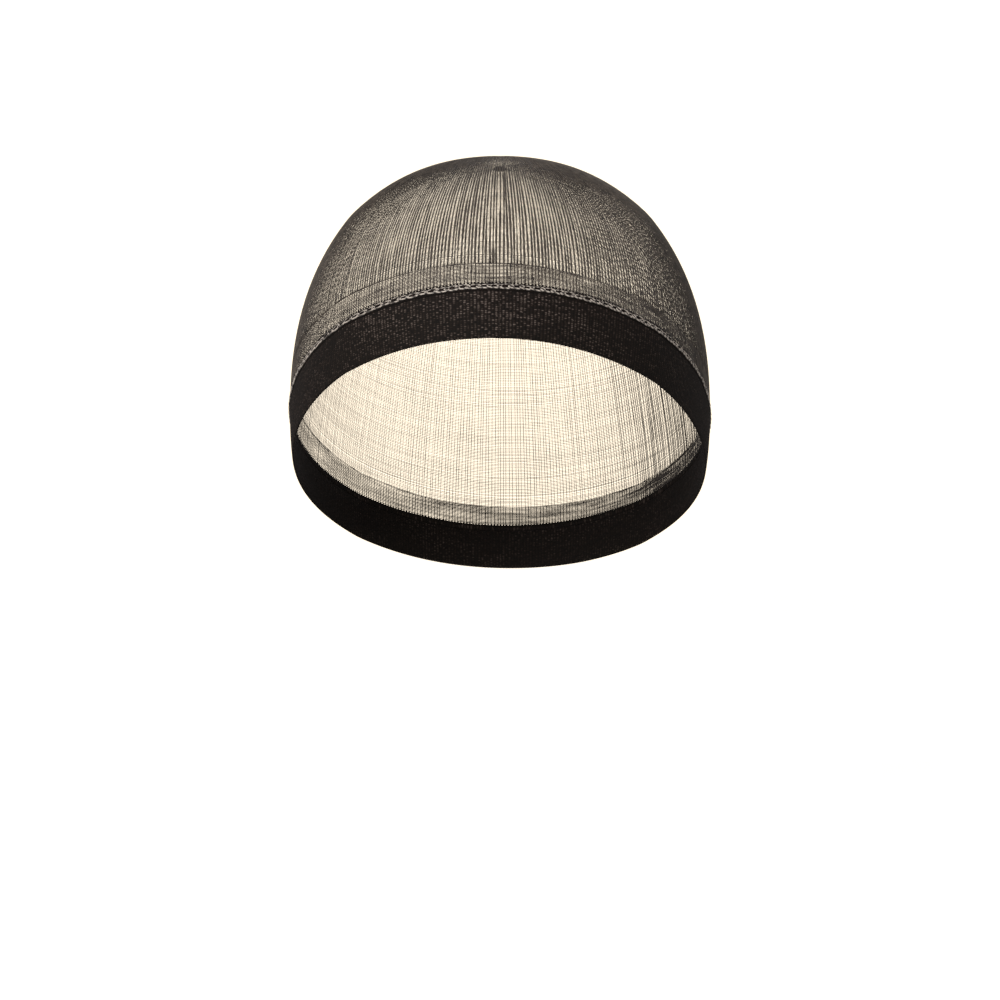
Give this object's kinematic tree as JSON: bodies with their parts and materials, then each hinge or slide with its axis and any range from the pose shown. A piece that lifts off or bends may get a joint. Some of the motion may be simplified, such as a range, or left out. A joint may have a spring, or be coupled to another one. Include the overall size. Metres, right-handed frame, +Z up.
{
  "type": "stocking wig cap",
  "caption": "Close-fitting sheer knitted nylon cap with a dense doubled welt round its rim, which holds the hair flat under a wig.",
  "frame": {"origin": "inside of the cap's top, where the highest point of the head touches it", "axes": "+Z up as worn, -Y towards the forehead, +Y towards the nape, +X towards the viewer's right when the forehead is seen"},
  "size_m": [0.1561, 0.1862, 0.1563],
  "materials": {
    "sheer_knit": "sheer plain knit of fine black nylon, see-through between its wales",
    "shadow_knit": "the same knit in a heavier yarn, less see-through",
    "seam_thread": "slightly shiny chain stitches of grey-black nylon thread",
    "welt_knit": "dense doubled black nylon and elastane knit, dull with fine ribs"
  },
  "bodies": {
    "root": {"crown": "sheer_knit", "shadow_welt": "shadow_knit", "linking_seam": "seam_thread", "welt_band": "welt_knit"}
  },
  "joints": []
}
